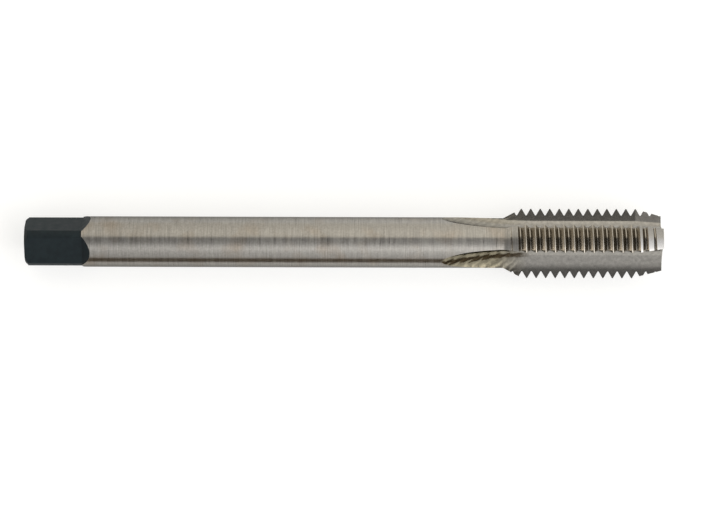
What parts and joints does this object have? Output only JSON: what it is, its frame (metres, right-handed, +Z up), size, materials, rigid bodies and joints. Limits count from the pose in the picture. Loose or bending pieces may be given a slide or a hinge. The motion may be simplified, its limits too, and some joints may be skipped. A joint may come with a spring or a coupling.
{
  "type": "machine tap",
  "caption": "Straight-fluted machine tap with a reduced round shank and a driving square, for cutting an internal M11 x 1.5 screw thread.",
  "frame": {"origin": "on the tap's axis, at the face of the driven end", "axes": "+X along the axis from the driving square to the cutting tip; +Z up, with one threaded land on top and a flute underneath, as the tap lies on a table"},
  "size_m": [0.1, 0.011, 0.0101],
  "materials": {
    "tool_steel": "ground bright high-speed steel, with a black oxide finish on the driving square"
  },
  "bodies": {
    "root": {"thread_tap": "tool_steel"}
  },
  "joints": []
}
